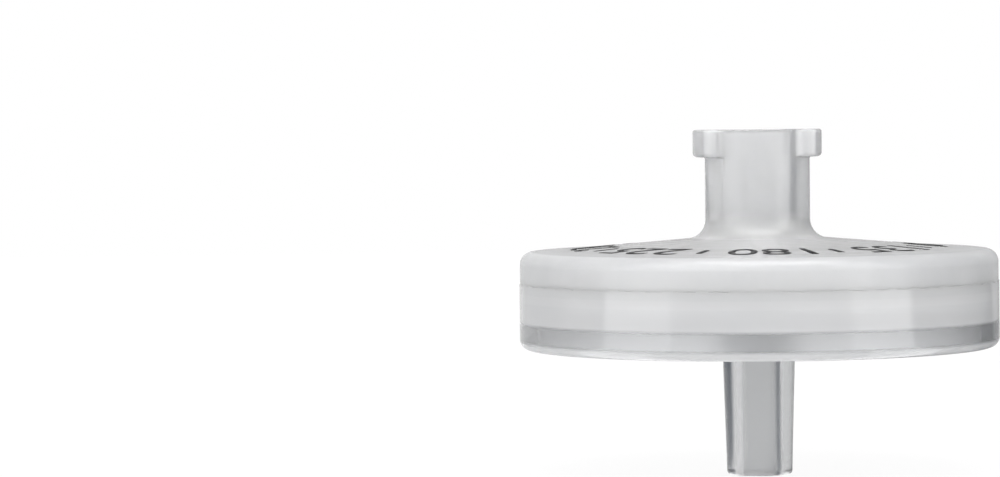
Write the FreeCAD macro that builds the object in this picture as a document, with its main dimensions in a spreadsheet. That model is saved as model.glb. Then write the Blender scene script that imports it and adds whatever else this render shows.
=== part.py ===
"""Syringe filter: two welded polypropylene mouldings with a filter disc clamped between them.

The frame stands on the outlet tip. The origin is the centre of the tip's flat end, +Z runs up the
flow axis to the inlet, and the two locking lugs lie along X. Sizes are in millimetres.
"""

import FreeCAD
import Part
import os
from types import SimpleNamespace

import Sketcher

# Every driving size, once. The text after each value is its note in the spreadsheet.
SIZES = {
    # filter disc: it sets how wide the whole part is
    "filter_radius": (12.5, "filter disc, 25 mm across"),
    "filter_thickness": (0.45, "free thickness of the filter disc"),
    "crushed_thickness": (0.3, "thickness of its clamped edge"),
    # outlet moulding, from the filter disc's pocket out to the skirt
    "pocket_clearance": (0.2, "gap round the filter disc in its pocket"),
    "pocket_depth": (0.65, "pocket, from the disc's seat up to the weld seam"),
    "land_width": (0.6, "land between the pocket and the weld groove"),
    "groove_width": (0.6, "width of the weld groove"),
    "groove_depth": (0.7, "depth of the weld groove"),
    "weld_wall": (0.68, "skirt wall outside the weld groove"),
    "lip_depth": (1.8, "recess under the plate, measured from the lip"),
    "lip_bevel": (0.5, "bevel of the lip's inner edge"),
    "skirt_ease": (0.6, "easing of the lip's outer edge"),
    # outlet moulding, the drain under the filter disc
    "plate_thickness": (1.25, "plate under the drain floor"),
    "seat_width": (1.0, "seat under the filter disc's edge"),
    "rib_height": (0.3, "support ribs above the drain floor"),
    "rib_width": (0.45, "width of a support rib"),
    "rib_count": (16, "number of long ribs, with a short rib between each two"),
    "rib_margin": (1.2, "from the bore to the long ribs"),
    "short_margin": (3.8, "from the long ribs' inner ends to the short ribs"),
    "drain_margin": (0.6, "ring channel round the outer ends of the ribs"),
    # outlet moulding, tip
    "tip_length": (7.75, "male cone, from its end to the skirt's lip"),
    "tip_end_radius": (1.983, "male cone at its end"),
    "luer_slope": (0.03, "growth of a luer cone's radius per millimetre, a 6 % taper"),
    "tip_bevel": (0.2, "bevel of the male cone's end"),
    "tip_root_bevel": (0.4, "thickening where the tip meets the plate"),
    "outlet_bore_radius": (1.0, "bore through the tip"),
    # inlet moulding, outside
    "rim_step": (0.04, "how far the inlet rim stands inside the skirt"),
    "rim_height": (1.91, "rim, from the weld seam to the shoulder's outer edge"),
    "rim_ease": (0.76, "easing of the edge between rim and shoulder"),
    "shoulder_width": (3.06, "flatter shoulder between rim and dome"),
    "shoulder_rise": (0.12, "rise of the shoulder"),
    "dome_rise": (0.72, "rise of the conical dome from the shoulder to the neck"),
    "neck_wall": (1.05, "wall of the neck at the socket's mouth"),
    "neck_round": (1.15, "fillet between dome and neck"),
    # inlet moulding, luer lock
    "lug_reach": (0.74, "how far the locking lugs stand out from the neck"),
    "lug_width": (4.3, "width of the lugs across their flat sides"),
    "lug_height": (1.7, "height of the lugs"),
    "lug_bevel": (0.25, "bevel of the lugs' lower and upright edges"),
    "socket_mouth_radius": (2.14, "female cone at its mouth"),
    "socket_depth": (7.5, "depth of the female cone"),
    "socket_lead": (0.2, "bevel at the mouth of the female cone"),
    "passage_radius": (1.6, "passage from the female cone to the chamber"),
    "passage_length": (0.83, "length of that passage"),
    # inlet moulding, inside
    "clamp_width": (0.9, "how far the clamping skirt reaches in over the filter disc"),
    "clamp_clearance": (0.1, "gap round the clamping skirt in the pocket"),
    "weld_clearance": (0.05, "gap on each side of the weld tongue"),
    "ceiling_gap": (0.9, "chamber, from the filter disc up to the ceiling"),
    "well_radius": (3.83, "round well under the inlet passage"),
    "well_depth": (0.25, "depth of the well above the ceiling"),
    "sector_drop": (0.2, "raised sectors, below the ceiling"),
    "sector_margin": (1.95, "from the raised sectors out to the clamping skirt"),
    "ring_drop": (0.4, "distributor rings, below the raised sectors"),
    "ring_width": (0.7, "width of a distributor ring"),
    "ring_pitch": (1.45, "step from one distributor ring to the next"),
    "ring_margin": (1.05, "from the well to the innermost distributor ring"),
    "star_width": (1.4, "width of a star channel between two sectors"),
    "star_count": (8, "number of star channels"),
}


class Size:
    """A length as a number, for first geometry, and as the expression that keeps it in step."""

    def __init__(self, value, text):
        self.value, self.text = value, text

    def combine(self, sign, other, result):
        text = other.text if isinstance(other, Size) else repr(other)
        return Size(result, f"({self.text} {sign} {text})")

    def __add__(self, other):
        return self.combine("+", other, self.value + number(other))

    def __sub__(self, other):
        return self.combine("-", other, self.value - number(other))

    def __mul__(self, other):
        return self.combine("*", other, self.value * number(other))

    def __truediv__(self, other):
        return self.combine("/", other, self.value / number(other))


def number(size):
    return size.value if isinstance(size, Size) else size


def make_sheet(doc):
    """One row a size: its name, its value under an alias of the same name, and its note."""
    sheet = doc.addObject("Spreadsheet::Sheet", "sizes")
    for row, (name, (value, note)) in enumerate(SIZES.items(), start=1):
        sheet.set(f"A{row}", name)
        sheet.set(f"B{row}", str(value))
        sheet.setAlias(f"B{row}", name)
        sheet.set(f"C{row}", note)
    doc.recompute()
    return SimpleNamespace(
        **{name: Size(value, f"sizes.{name}") for name, (value, _) in SIZES.items()}
    )


# ---------------------------------------------------------------- sketches


def make_body(doc, label):
    body = doc.addObject("PartDesign::Body", label)
    body.Label = label
    return body


def new_sketch(body, name, role, level=None):
    """A sketch on one of the body's own origin planes, lifted to a level where one is given."""
    plane = next(f for f in body.Origin.OriginFeatures if f.Role == role)
    sketch = body.newObject("Sketcher::SketchObject", name)
    sketch.AttachmentSupport = [(plane, "")]
    sketch.MapMode = "FlatFace"
    if level is not None:
        sketch.setExpression("AttachmentOffset.Base.z", level.text)
    return sketch


def bind(sketch, kind, *where, size):
    """A dimension that follows the spreadsheet."""
    index = sketch.addConstraint(Sketcher.Constraint(kind, *where, number(size)))
    sketch.setExpression(f"Constraints[{index}]", size.text)


def draw_outline(sketch, corners):
    """A closed outline of straight edges through corners, each a pair of sizes from the origin."""
    points = [FreeCAD.Vector(number(x), number(y), 0) for x, y in corners]
    edges = zip(points, points[1:] + points[:1])
    first = sketch.GeometryCount
    sketch.addGeometry([Part.LineSegment(start, end) for start, end in edges], False)
    for i, corner in enumerate(corners):
        before = first + (i - 1) % len(corners)
        sketch.addConstraint(Sketcher.Constraint("Coincident", before, 2, first + i, 1))
        for kind, size, axis in zip(("DistanceX", "DistanceY"), corner, (-2, -1)):
            if isinstance(size, Size):
                bind(sketch, kind, -1, 1, first + i, 1, size=size)
            else:
                sketch.addConstraint(Sketcher.Constraint("PointOnObject", first + i, 1, axis))


def eased_corner(radius, level, ease, way):
    """An outer edge eased by two flats that lie on a quarter circle.

    The outline runs out along the bottom and up the side, or up the side and in along the top.
    """
    middle = ease * (1 - 0.5**0.5)
    if way == "up":
        return [
            (radius - ease, level),
            (radius - middle, level + middle),
            (radius, level + ease),
        ]
    return [
        (radius, level - ease),
        (radius - middle, level - middle),
        (radius - ease, level),
    ]


def draw_rings(sketch, first_radius, width, pitch, limit):
    """As many concentric rings about the sketch's origin as fit inside a limiting radius.

    It returns the last ring's outside radius.
    """
    count = int((limit - first_radius - width).value / pitch.value) + 1
    for ring in range(count):
        inner = first_radius + pitch * ring
        for radius in (inner, inner + width):
            circle = Part.Circle(FreeCAD.Vector(), FreeCAD.Vector(0, 0, 1), radius.value)
            index = sketch.addGeometry(circle, False)
            sketch.addConstraint(Sketcher.Constraint("Coincident", index, 3, -1, 1))
            bind(sketch, "Radius", index, size=radius)
    return first_radius + pitch * (count - 1) + width


def draw_slot(sketch, start, end, width):
    """A straight slot along X from start to end, even about the X axis."""
    half = width.value / 2
    low, high = FreeCAD.Vector(start.value, -half, 0), FreeCAD.Vector(end.value, half, 0)
    corners = [low, FreeCAD.Vector(high.x, low.y, 0), high, FreeCAD.Vector(low.x, high.y, 0)]
    first = sketch.GeometryCount
    sides = zip(corners, corners[1:] + corners[:1])
    sketch.addGeometry([Part.LineSegment(a, b) for a, b in sides], False)
    for i in range(4):
        sketch.addConstraint(Sketcher.Constraint("Coincident", first + i, 2, first + (i + 1) % 4, 1))
    for i, kind in enumerate(("Horizontal", "Vertical", "Horizontal")):
        sketch.addConstraint(Sketcher.Constraint(kind, first + i))
    sketch.addConstraint(Sketcher.Constraint("Symmetric", first, 1, first + 3, 1, -1))
    bind(sketch, "DistanceX", -1, 1, first, 1, size=start)
    bind(sketch, "DistanceX", -1, 1, first, 2, size=end)
    bind(sketch, "DistanceY", first + 1, 1, first + 1, 2, size=width)


# ---------------------------------------------------------------- features


def turn(body, kind, name, sketch):
    """A full turn of an upright outline about the flow axis: a Revolution or a Groove."""
    feature = body.newObject(f"PartDesign::{kind}", name)
    feature.Profile = sketch
    feature.ReferenceAxis = (sketch, ["V_Axis"])
    feature.Angle = 360
    body.Document.recompute()
    return feature


def raise_or_sink(body, kind, name, sketch, depth, reverse):
    """A Pad or a Pocket of a level sketch, whose length follows the spreadsheet."""
    feature = body.newObject(f"PartDesign::{kind}", name)
    feature.Profile = sketch
    feature.Reversed = reverse
    feature.setExpression("Length", depth.text)
    body.Document.recompute()
    return feature


def repeat_round(body, name, feature, count):
    """Copies of a feature spread evenly about the flow axis."""
    axis = next(f for f in body.Origin.OriginFeatures if f.Role == "Z_Axis")
    pattern = body.newObject("PartDesign::PolarPattern", name)
    pattern.Originals = [feature]
    pattern.Axis = (axis, [""])
    pattern.Angle = 360
    pattern.setExpression("Occurrences", count.text)
    body.Tip = pattern
    body.Document.recompute()
    return pattern


def circles_at(feature, *places):
    """Names of the full circles about the flow axis at each radius and height."""
    found = []
    for radius, height in places:
        wanted = (number(radius), number(height))
        for index, edge in enumerate(feature.Shape.Edges, start=1):
            curve = edge.Curve
            if not isinstance(curve, Part.Circle) or abs(curve.Axis.z) < 0.99:
                continue
            if (curve.Center - FreeCAD.Vector(0, 0, wanted[1])).Length > 1e-4:
                continue
            if abs(curve.Radius - wanted[0]) < 1e-4:
                found.append(f"Edge{index}")
    return found


def soften(body, kind, name, base, edges, size):
    """A Fillet or a Chamfer of named edges."""
    if not edges:
        raise ValueError(f"{name}: no edge to work on")
    feature = body.newObject(f"PartDesign::{kind}", name)
    feature.Base = (base, edges)
    feature.setExpression("Radius" if kind == "Fillet" else "Size", size.text)
    body.Document.recompute()
    return feature


def check_change(name, before, after, grows):
    """A cut that misses the solid shows no error, so the volume has to change the right way."""
    change = after.Shape.Volume - before.Shape.Volume
    if (change > 0) != grows or abs(change) < 1e-6:
        raise ValueError(f"{name} changed the volume by {change:.4f}")


# ---------------------------------------------------------------- levels shared by the pieces


def add_levels(s):
    """Heights and radii that follow from the driving sizes, some shared by two pieces."""
    # heights, from the tip's end up
    s.lip_level = s.tip_length
    s.plate_level = s.lip_level + s.lip_depth
    s.floor_level = s.plate_level + s.plate_thickness
    s.seat_level = s.floor_level + s.rib_height
    s.seam_level = s.seat_level + s.pocket_depth
    s.groove_level = s.seam_level - s.groove_depth
    s.crushed_level = s.seat_level + s.crushed_thickness
    s.filter_level = s.seat_level + s.filter_thickness
    s.ceiling_level = s.filter_level + s.ceiling_gap
    s.sector_level = s.ceiling_level - s.sector_drop
    s.well_level = s.ceiling_level + s.well_depth
    s.socket_level = s.well_level + s.passage_length
    s.top_level = s.socket_level + s.socket_depth
    s.rim_level = s.seam_level + s.rim_height
    s.shoulder_level = s.rim_level + s.shoulder_rise
    s.dome_level = s.shoulder_level + s.dome_rise
    # radii, from the filter disc's edge out and in
    s.pocket_radius = s.filter_radius + s.pocket_clearance
    s.groove_inner_radius = s.pocket_radius + s.land_width
    s.groove_outer_radius = s.groove_inner_radius + s.groove_width
    s.shell_radius = s.groove_outer_radius + s.weld_wall
    s.rim_radius = s.shell_radius - s.rim_step
    s.lip_inner_radius = s.shell_radius - s.skirt_ease - s.lip_bevel
    s.drain_radius = s.filter_radius - s.seat_width
    s.clamp_inner_radius = s.filter_radius - s.clamp_width
    s.clamp_outer_radius = s.pocket_radius - s.clamp_clearance
    s.sector_radius = s.clamp_inner_radius - s.sector_margin
    # radii, from the flow axis out
    s.rib_start = s.outlet_bore_radius + s.rib_margin
    s.short_start = s.rib_start + s.short_margin
    s.rib_end = s.drain_radius - s.drain_margin
    s.ring_first = s.well_radius + s.ring_margin
    s.neck_radius = s.socket_mouth_radius + s.neck_wall
    s.lug_radius = s.neck_radius + s.lug_reach


# ---------------------------------------------------------------- pieces


def make_outlet_housing(doc, s):
    """Lower moulding: skirt, plate with support ribs on the drain floor, and the male cone."""
    body = make_body(doc, "outlet_housing")
    outline = new_sketch(body, "outlet_outline", "XZ_Plane")
    tip_root_radius = s.tip_end_radius + s.luer_slope * s.plate_level
    draw_outline(
        outline,
        [
            (s.outlet_bore_radius, 0),
            (s.tip_end_radius, 0),
            (tip_root_radius, s.plate_level),
            (s.lip_inner_radius, s.plate_level),
            (s.lip_inner_radius, s.lip_level + s.lip_bevel),
            *eased_corner(s.shell_radius, s.lip_level, s.skirt_ease, "up"),
            (s.shell_radius, s.seam_level),
            (s.groove_outer_radius, s.seam_level),
            (s.groove_outer_radius, s.groove_level),
            (s.groove_inner_radius, s.groove_level),
            (s.groove_inner_radius, s.seam_level),
            (s.pocket_radius, s.seam_level),
            (s.pocket_radius, s.seat_level),
            (s.drain_radius, s.seat_level),
            (s.drain_radius, s.floor_level),
            (s.outlet_bore_radius, s.floor_level),
        ],
    )
    shell = turn(body, "Revolution", "outlet_shell", outline)
    end = soften(
        body,
        "Chamfer",
        "tip_bevel",
        shell,
        circles_at(shell, (s.tip_end_radius, 0)),
        s.tip_bevel,
    )
    root = soften(
        body,
        "Chamfer",
        "tip_root",
        end,
        circles_at(end, (tip_root_radius, s.plate_level)),
        s.tip_root_bevel,
    )
    make_ribs(body, s, root)
    return body


def make_ribs(body, s, base):
    """Radial ribs on the drain floor: long ones, and a short one midway between each two."""
    half_step = 180 / s.rib_count.value
    for name, start, turned in (("long", s.rib_start, 0), ("short", s.short_start, half_step)):
        sketch = new_sketch(body, f"{name}_rib_outline", "XY_Plane", s.floor_level)
        sketch.AttachmentOffset = FreeCAD.Placement(
            sketch.AttachmentOffset.Base, FreeCAD.Rotation(FreeCAD.Vector(0, 0, 1), turned)
        )
        draw_slot(sketch, start, s.rib_end, s.rib_width)
        rib = raise_or_sink(body, "Pad", f"{name}_rib", sketch, s.rib_height, False)
        check_change(f"{name}_rib", base, rib, True)
        base = repeat_round(body, f"{name}_ribs", rib, s.rib_count)
        check_change(f"{name}_ribs", rib, base, True)


def make_inlet_housing(doc, s):
    """Upper moulding: rim, hollow-sided dome, neck with lugs and socket, and the star inside."""
    body = make_body(doc, "inlet_housing")
    outline = new_sketch(body, "inlet_outline", "XZ_Plane")
    tongue_inner = s.groove_inner_radius + s.weld_clearance
    tongue_outer = s.groove_outer_radius - s.weld_clearance
    tongue_level = s.groove_level + s.weld_clearance
    corners = [
        (0, s.well_level),
        (s.well_radius, s.well_level),
        (s.well_radius, s.sector_level),
        (s.sector_radius, s.sector_level),
        (s.sector_radius, s.ceiling_level),
        (s.clamp_inner_radius, s.ceiling_level),
        (s.clamp_inner_radius, s.crushed_level),
        (s.clamp_outer_radius, s.crushed_level),
        (s.clamp_outer_radius, s.seam_level),
        (tongue_inner, s.seam_level),
        (tongue_inner, tongue_level),
        (tongue_outer, tongue_level),
        (tongue_outer, s.seam_level),
        (s.rim_radius, s.seam_level),
        *eased_corner(s.rim_radius, s.rim_level, s.rim_ease, "in"),
        (s.rim_radius - s.shoulder_width, s.shoulder_level),
        (s.neck_radius, s.dome_level),
        (s.neck_radius, s.top_level),
        (0, s.top_level),
    ]
    draw_outline(outline, corners)
    shell = turn(body, "Revolution", "inlet_shell", outline)
    neck = soften(
        body,
        "Fillet",
        "neck_fillet",
        shell,
        circles_at(shell, (s.neck_radius, s.dome_level)),
        s.neck_round,
    )
    lugs = make_lugs(body, s, neck)

    socket = new_sketch(body, "socket_outline", "XZ_Plane")
    socket_end_radius = s.socket_mouth_radius - s.luer_slope * s.socket_depth
    draw_outline(
        socket,
        [
            (0, s.sector_level),
            (s.passage_radius, s.sector_level),
            (s.passage_radius, s.socket_level),
            (socket_end_radius, s.socket_level),
            (s.socket_mouth_radius, s.top_level),
            (0, s.top_level),
        ],
    )
    bored = turn(body, "Groove", "luer_socket", socket)
    check_change("luer_socket", lugs, bored, False)
    mouth = soften(
        body,
        "Chamfer",
        "socket_mouth",
        bored,
        circles_at(bored, (s.socket_mouth_radius, s.top_level)),
        s.socket_lead,
    )

    rings = new_sketch(body, "ring_outline", "XY_Plane", s.sector_level)
    draw_rings(rings, s.ring_first, s.ring_width, s.ring_pitch, s.sector_radius)
    ringed = raise_or_sink(body, "Pad", "distributor_rings", rings, s.ring_drop, True)
    check_change("distributor_rings", mouth, ringed, True)

    slot = new_sketch(body, "star_outline", "XY_Plane", s.ceiling_level)
    draw_slot(slot, s.well_radius / 2, s.sector_radius + s.ring_width, s.star_width)
    depth = s.sector_drop + s.ring_drop
    channel = raise_or_sink(body, "Pocket", "star_channel", slot, depth, False)
    check_change("star_channel", ringed, channel, False)
    star = repeat_round(body, "star_channels", channel, s.star_count)
    check_change("star_channels", channel, star, False)
    return body


def make_lugs(body, s, base):
    """Two lugs at the neck's top: a disc cut by two flats, with bevelled edges."""
    sketch = new_sketch(body, "lug_outline", "XY_Plane", s.top_level)
    half = s.lug_width.value / 2
    reach = (s.lug_radius.value**2 - half**2) ** 0.5
    corner = {
        (x, y): FreeCAD.Vector(x * reach, y * half, 0) for x in (1, -1) for y in (1, -1)
    }
    right = Part.Arc(corner[1, -1], FreeCAD.Vector(s.lug_radius.value, 0, 0), corner[1, 1])
    left = Part.Arc(corner[-1, 1], FreeCAD.Vector(-s.lug_radius.value, 0, 0), corner[-1, -1])
    back = Part.LineSegment(corner[1, 1], corner[-1, 1])
    front = Part.LineSegment(corner[-1, -1], corner[1, -1])
    sketch.addGeometry([right, back, left, front], False)
    for i in range(4):
        sketch.addConstraint(Sketcher.Constraint("Coincident", i, 2, (i + 1) % 4, 1))
    for arc in (0, 2):
        sketch.addConstraint(Sketcher.Constraint("Coincident", arc, 3, -1, 1))
    for line in (1, 3):
        sketch.addConstraint(Sketcher.Constraint("Horizontal", line))
    sketch.addConstraint(Sketcher.Constraint("Equal", 0, 2))
    bind(sketch, "Radius", 0, size=s.lug_radius)
    bind(sketch, "DistanceY", -1, 1, 1, 1, size=s.lug_width / 2)
    bind(sketch, "DistanceY", 3, 2, -1, 1, size=s.lug_width / 2)
    lugs = raise_or_sink(body, "Pad", "lugs", sketch, s.lug_height, True)
    check_change("lugs", base, lugs, True)

    lowest = (s.top_level - s.lug_height).value
    edges = []
    for index, edge in enumerate(lugs.Shape.Edges, start=1):
        middle = edge.CenterOfMass
        upright = edge.BoundBox.ZLength > s.lug_height.value / 2
        under = isinstance(edge.Curve, Part.Circle) and abs(middle.z - lowest) < 1e-4
        if (upright or under) and middle.x**2 + middle.y**2 > s.neck_radius.value**2:
            edges.append(f"Edge{index}")
    return soften(body, "Chamfer", "lug_bevel", lugs, edges, s.lug_bevel)


def make_filter_disc(doc, s):
    """Glass-fibre disc, crushed thinner where the clamping skirt presses on its edge."""
    body = make_body(doc, "filter_disc")
    outline = new_sketch(body, "filter_outline", "XZ_Plane")
    draw_outline(
        outline,
        [
            (0, s.seat_level),
            (s.filter_radius, s.seat_level),
            (s.filter_radius, s.crushed_level),
            (s.clamp_inner_radius, s.crushed_level),
            (s.clamp_inner_radius - (s.filter_thickness - s.crushed_thickness), s.filter_level),
            (0, s.filter_level),
        ],
    )
    turn(body, "Revolution", "filter_sheet", outline)
    return body


# ---------------------------------------------------------------- checks and files


def check_document(doc, bodies):
    """Stops on a failed feature or a shape that isn't one valid solid."""
    failed = [o.Label for o in doc.Objects if {"Invalid", "Error"} & set(o.State)]
    if failed:
        raise RuntimeError(f"failed features: {', '.join(failed)}")
    for body in bodies:
        shape = body.Shape
        if shape.isNull() or not shape.isValid() or len(shape.Solids) != 1:
            raise RuntimeError(f"{body.Label} isn't one valid solid")


def main():
    doc = FreeCAD.newDocument("syringe_filter")
    sizes = make_sheet(doc)
    add_levels(sizes)
    bodies = [make(doc, sizes) for make in (make_outlet_housing, make_inlet_housing, make_filter_disc)]
    doc.recompute()
    check_document(doc, bodies)
    os.makedirs("parts", exist_ok=True)
    for body in bodies:
        body.Shape.exportStep(f"parts/{body.Label}.step")
        box = body.Shape.optimalBoundingBox()
        print(
            f"{body.Label}: {body.Shape.Volume:.1f} mm3, "
            f"{box.XLength:.2f} x {box.YLength:.2f} x {box.ZLength:.2f} mm"
        )


main()
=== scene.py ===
# %% [markdown]
# # A syringe filter, finished round its CAD frame
#
# A disposable syringe filter is two injection mouldings of natural polypropylene, welded round a
# thin felt disc. The upper moulding takes a syringe, the lower one ends in a tapered tip. The CAD
# frame holds the true sizes; this script gives each piece its soft edges, its moulded inside and
# its cloudy plastic, and stays inside the frame's box.
#
# Loading the frame comes first: the outer radii, the seam and the ends are read from it. The walls
# and gaps between them are named where they are first needed, in millimetres.

# %% Load the frame
import math

import bpy
import numpy as np
from mathutils import Matrix, Vector


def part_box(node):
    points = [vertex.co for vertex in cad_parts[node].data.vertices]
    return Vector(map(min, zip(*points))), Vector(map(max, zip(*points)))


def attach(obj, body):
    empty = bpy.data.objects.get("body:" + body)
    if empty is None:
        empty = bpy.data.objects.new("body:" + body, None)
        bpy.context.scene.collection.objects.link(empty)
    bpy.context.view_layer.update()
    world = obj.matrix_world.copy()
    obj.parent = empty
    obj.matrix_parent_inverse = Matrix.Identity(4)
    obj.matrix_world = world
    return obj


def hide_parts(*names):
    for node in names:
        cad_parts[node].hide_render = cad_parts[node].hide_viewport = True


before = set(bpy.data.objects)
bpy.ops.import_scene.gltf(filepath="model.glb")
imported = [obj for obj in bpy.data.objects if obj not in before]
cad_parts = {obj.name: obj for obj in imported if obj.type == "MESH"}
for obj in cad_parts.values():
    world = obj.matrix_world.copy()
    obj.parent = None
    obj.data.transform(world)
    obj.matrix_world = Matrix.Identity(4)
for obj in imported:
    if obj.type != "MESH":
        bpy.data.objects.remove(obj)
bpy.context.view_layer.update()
MM = 0.001


def extent(node):
    """Outside radius, lowest and highest level of a round CAD node, in millimetres."""
    low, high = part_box(node)
    return (high.y - low.y) / 2 / MM, low.z / MM, high.z / MM


skirt_radius, tip_end, seam = extent("outlet_housing")
rim_radius, tongue_end, top = extent("inlet_housing")
filter_radius, filter_bottom, filter_top = extent("filter_disc")
print(f"skirt {skirt_radius:.2f}, rim {rim_radius:.2f}, seam at {seam:.2f}, top at {top:.2f} mm")

# %% [markdown]
# ## A moulded outline
#
# Nothing that comes out of a mould has a knife edge: every corner is a small arc. A Bevel modifier
# could round them, but on a grid this fine it is slow and hard to steer, so the outline itself
# carries the arcs. A corner is written as a radius, a height and a rounding, and the arc tangent
# to its two straight neighbours is worked out from the angle between them. A short step of
# straight wall is kept on both sides of each arc, so that smooth shading stays flat on the flat
# faces.

# %% Rounded outlines
ARC_STEP = math.radians(12)
LEAST_TURN = 1e-3
SUPPORT = 0.03


def outline(corners):
    """Rounded polyline. Each corner is (radius, height, rounding).

    For a rounding q and a turn a between two straight runs, the arc starts q * tan(a / 2) before
    the corner. Its points are the centre plus q times the unit vectors that turn evenly from one
    run's normal to the next one's.
    """
    corners = np.array(corners, float)
    spots, q = corners[:, :2], corners[:, 2]
    rows = [spots[:1]]
    for i in range(1, len(spots) - 1):
        arrive = spots[i] - spots[i - 1]
        leave = spots[i + 1] - spots[i]
        room = np.linalg.norm(arrive), np.linalg.norm(leave)
        arrive, leave = arrive / room[0], leave / room[1]
        turn = math.atan2(arrive[0] * leave[1] - arrive[1] * leave[0], arrive @ leave)
        if q[i] == 0 or abs(turn) < LEAST_TURN:
            rows.append(spots[i : i + 1])
            continue
        side = math.copysign(1, turn)
        cut = q[i] * math.tan(abs(turn) / 2)
        start = spots[i] - arrive * cut
        centre = start + side * q[i] * np.array([-arrive[1], arrive[0]])
        count = max(2, round(abs(turn) / ARC_STEP))
        swing = np.linspace(0, turn, count + 1)[:, None]
        out = start - centre
        crossed = np.array([-out[1], out[0]])
        arc = centre + np.cos(swing) * out + np.sin(swing) * crossed
        before = [start - arrive * min(SUPPORT, (room[0] - cut) / 3)]
        after = [spots[i] + leave * (cut + min(SUPPORT, (room[1] - cut) / 3))]
        rows.append(np.vstack([before, arc, after]))
    rows.append(spots[-1:])
    return np.vstack(rows)


sample = outline([(1, 0, 0), (2, 0, 0.2), (2, 1, 0)])
print(f"one square corner becomes {len(sample) - 2} points")

# %% [markdown]
# ## One grid for a whole moulding
#
# A turned part is usually made with Spin or the Screw modifier. Here that isn't enough, because
# the lugs outside and the star of channels inside break the round symmetry. So each moulding is
# one grid: each row is a point of the cross-section carried round the flow axis, the columns are
# the angles, and three arrays give the radius, the angle and the height of each crossing. The last
# row joins the first one, which makes a watertight wall with an outside and an inside.

# %% Grids to meshes
BODY = "root"
SHARP = math.radians(38)


def add_object(name, data):
    """A new object in the scene, holding a mesh, a curve, a lamp or a camera."""
    made = bpy.data.objects.new(name, data)
    bpy.context.scene.collection.objects.link(made)
    return made


def new_piece(name, points, faces):
    """A mesh object from points in millimetres, riding on the part's one body."""
    mesh = bpy.data.meshes.new(name)
    mesh.from_pydata((points * MM).tolist(), [], faces)
    mesh.validate()
    mesh.polygons.foreach_set("use_smooth", np.ones(len(mesh.polygons), bool))
    mesh.set_sharp_from_angle(angle=SHARP)
    piece = add_object(name, mesh)
    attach(piece, BODY)
    print(f"{name}: {len(points)} points, {len(mesh.polygons)} faces")
    return piece


def polar(radius, angle, height):
    """Points at (radius * cos angle, radius * sin angle, height), one for each grid crossing."""
    radius, angle, height = np.broadcast_arrays(radius, angle, height)
    return np.stack([radius * np.cos(angle), radius * np.sin(angle), height], -1).reshape(-1, 3)


def ring_quads(rows, columns, closed):
    """Quads between neighbouring rows and columns. Columns wrap; rows wrap too where closed."""
    row, column = np.meshgrid(np.arange(rows - 1 + closed), np.arange(columns), indexing="ij")
    here, up, right = row * columns, (row + 1) % rows * columns, (column + 1) % columns
    return np.stack([here + column, here + right, up + right, up + column], -1).reshape(-1, 4)


def turned(line, angle):
    """A block of rows for an outline that is the same all the way round."""
    return line[:, :1], angle, line[:, 1:]


def new_moulding(name, blocks):
    """A watertight piece from blocks of rows. A block is its rows' radius, angle and height."""
    blocks = [np.broadcast_arrays(*block) for block in blocks]
    radius, angle, height = (np.vstack(grids) for grids in zip(*blocks))
    faces = ring_quads(*radius.shape, True).tolist()
    return new_piece(name, polar(radius, angle, height), faces)


print(f"a closed grid of 3 by 4 points has {len(ring_quads(3, 4, True))} faces")

# %% [markdown]
# ## Columns that follow the channels
#
# The ceiling of the chamber is cut by eight straight channels of even width, so their walls
# aren't radial. A grid line can still follow such a wall: at the radius r it stands at the angle
# arcsin(half width / r). Between two walls the columns are spread evenly. The ribs under the
# filter disc are laid out by the same function, so it takes each bar's half width and inner
# radius. A few rows ease the columns back to even spacing, where round walls take over.

# %% Star columns
WALL_DRAFT = 0.04
EASE = np.array([0.25, 0.5, 0.75])[:, None]


def star_angles(radius, bars, repeats, fine, coarse):
    """Angles of columns that keep to straight radial bars, and which columns lie on each bar.

    bars is a list of (half width, inner radius): the bars of one repeat, evenly spaced. A column
    on a bar stands at its bar's centre plus arcsin(offset / r), and the columns between two bars
    divide what is left evenly. Below its inner radius a bar's angles stay as they are there.
    A bar gets fine columns, and the space between two bars gets coarse ones.
    """
    radius = np.asarray(radius, float)[:, None]
    step = 2 * math.pi / (repeats * len(bars))
    walls = [np.arcsin((half + WALL_DRAFT) / np.maximum(radius, inner)) for half, inner in bars]
    parts, owners = [], []
    for k in range(repeats * len(bars)):
        which = k % len(bars)
        half, inner = bars[which]
        across = np.linspace(-half, half, fine)[None, :]
        parts.append(k * step + np.arcsin(across / np.maximum(radius, inner)))
        share = np.linspace(0, 1, coarse)[None, :]
        first = k * step + walls[which]
        last = (k + 1) * step - walls[(k + 1) % len(bars)]
        parts.append(first + (last - first) * share)
        owners.append(np.repeat([which, -1], [fine, coarse]))
    return np.hstack(parts), np.hstack(owners)


def even_angles(columns, fine):
    """Evenly spread angles in the same order, with column (fine - 1) / 2 on the X axis."""
    return ((np.arange(columns) - (fine - 1) / 2) * 2 * math.pi / columns)[None, :]


def eased(even, shaped, share):
    """Angles a share of the way from the even ones to the shaped ones."""
    return even + (shaped - even) * share


sample, _ = star_angles([5], [(0.7, 5)], 8, 3, 2)
span = math.degrees(sample[0, 2] - sample[0, 0])
print(f"a channel 1.4 mm wide spans {span:.1f} degrees at 5 mm from the axis")

# %% [markdown]
# ## The upper moulding
#
# Outside it is a rim, a shallow dome and a neck with two locking lugs. Inside it is a tapered
# socket, a short passage, a round well, and a ceiling whose raised sectors carry distributor
# rings. A skirt reaches down to clamp the felt, and a tongue fills the weld groove.
#
# The outside is one rounded outline. The lugs are then a change of radius with the angle: the
# smaller of a disc and a flat on each side, blended softly. The ceiling is a change of height
# with the angle: one height in the channels and another on the sectors.
#
# The weld squeezes a little plastic out of the seam in short beads. They could be sculpted one by
# one, but a sum of waves with random heights and places spreads them round the seam at once.

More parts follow.
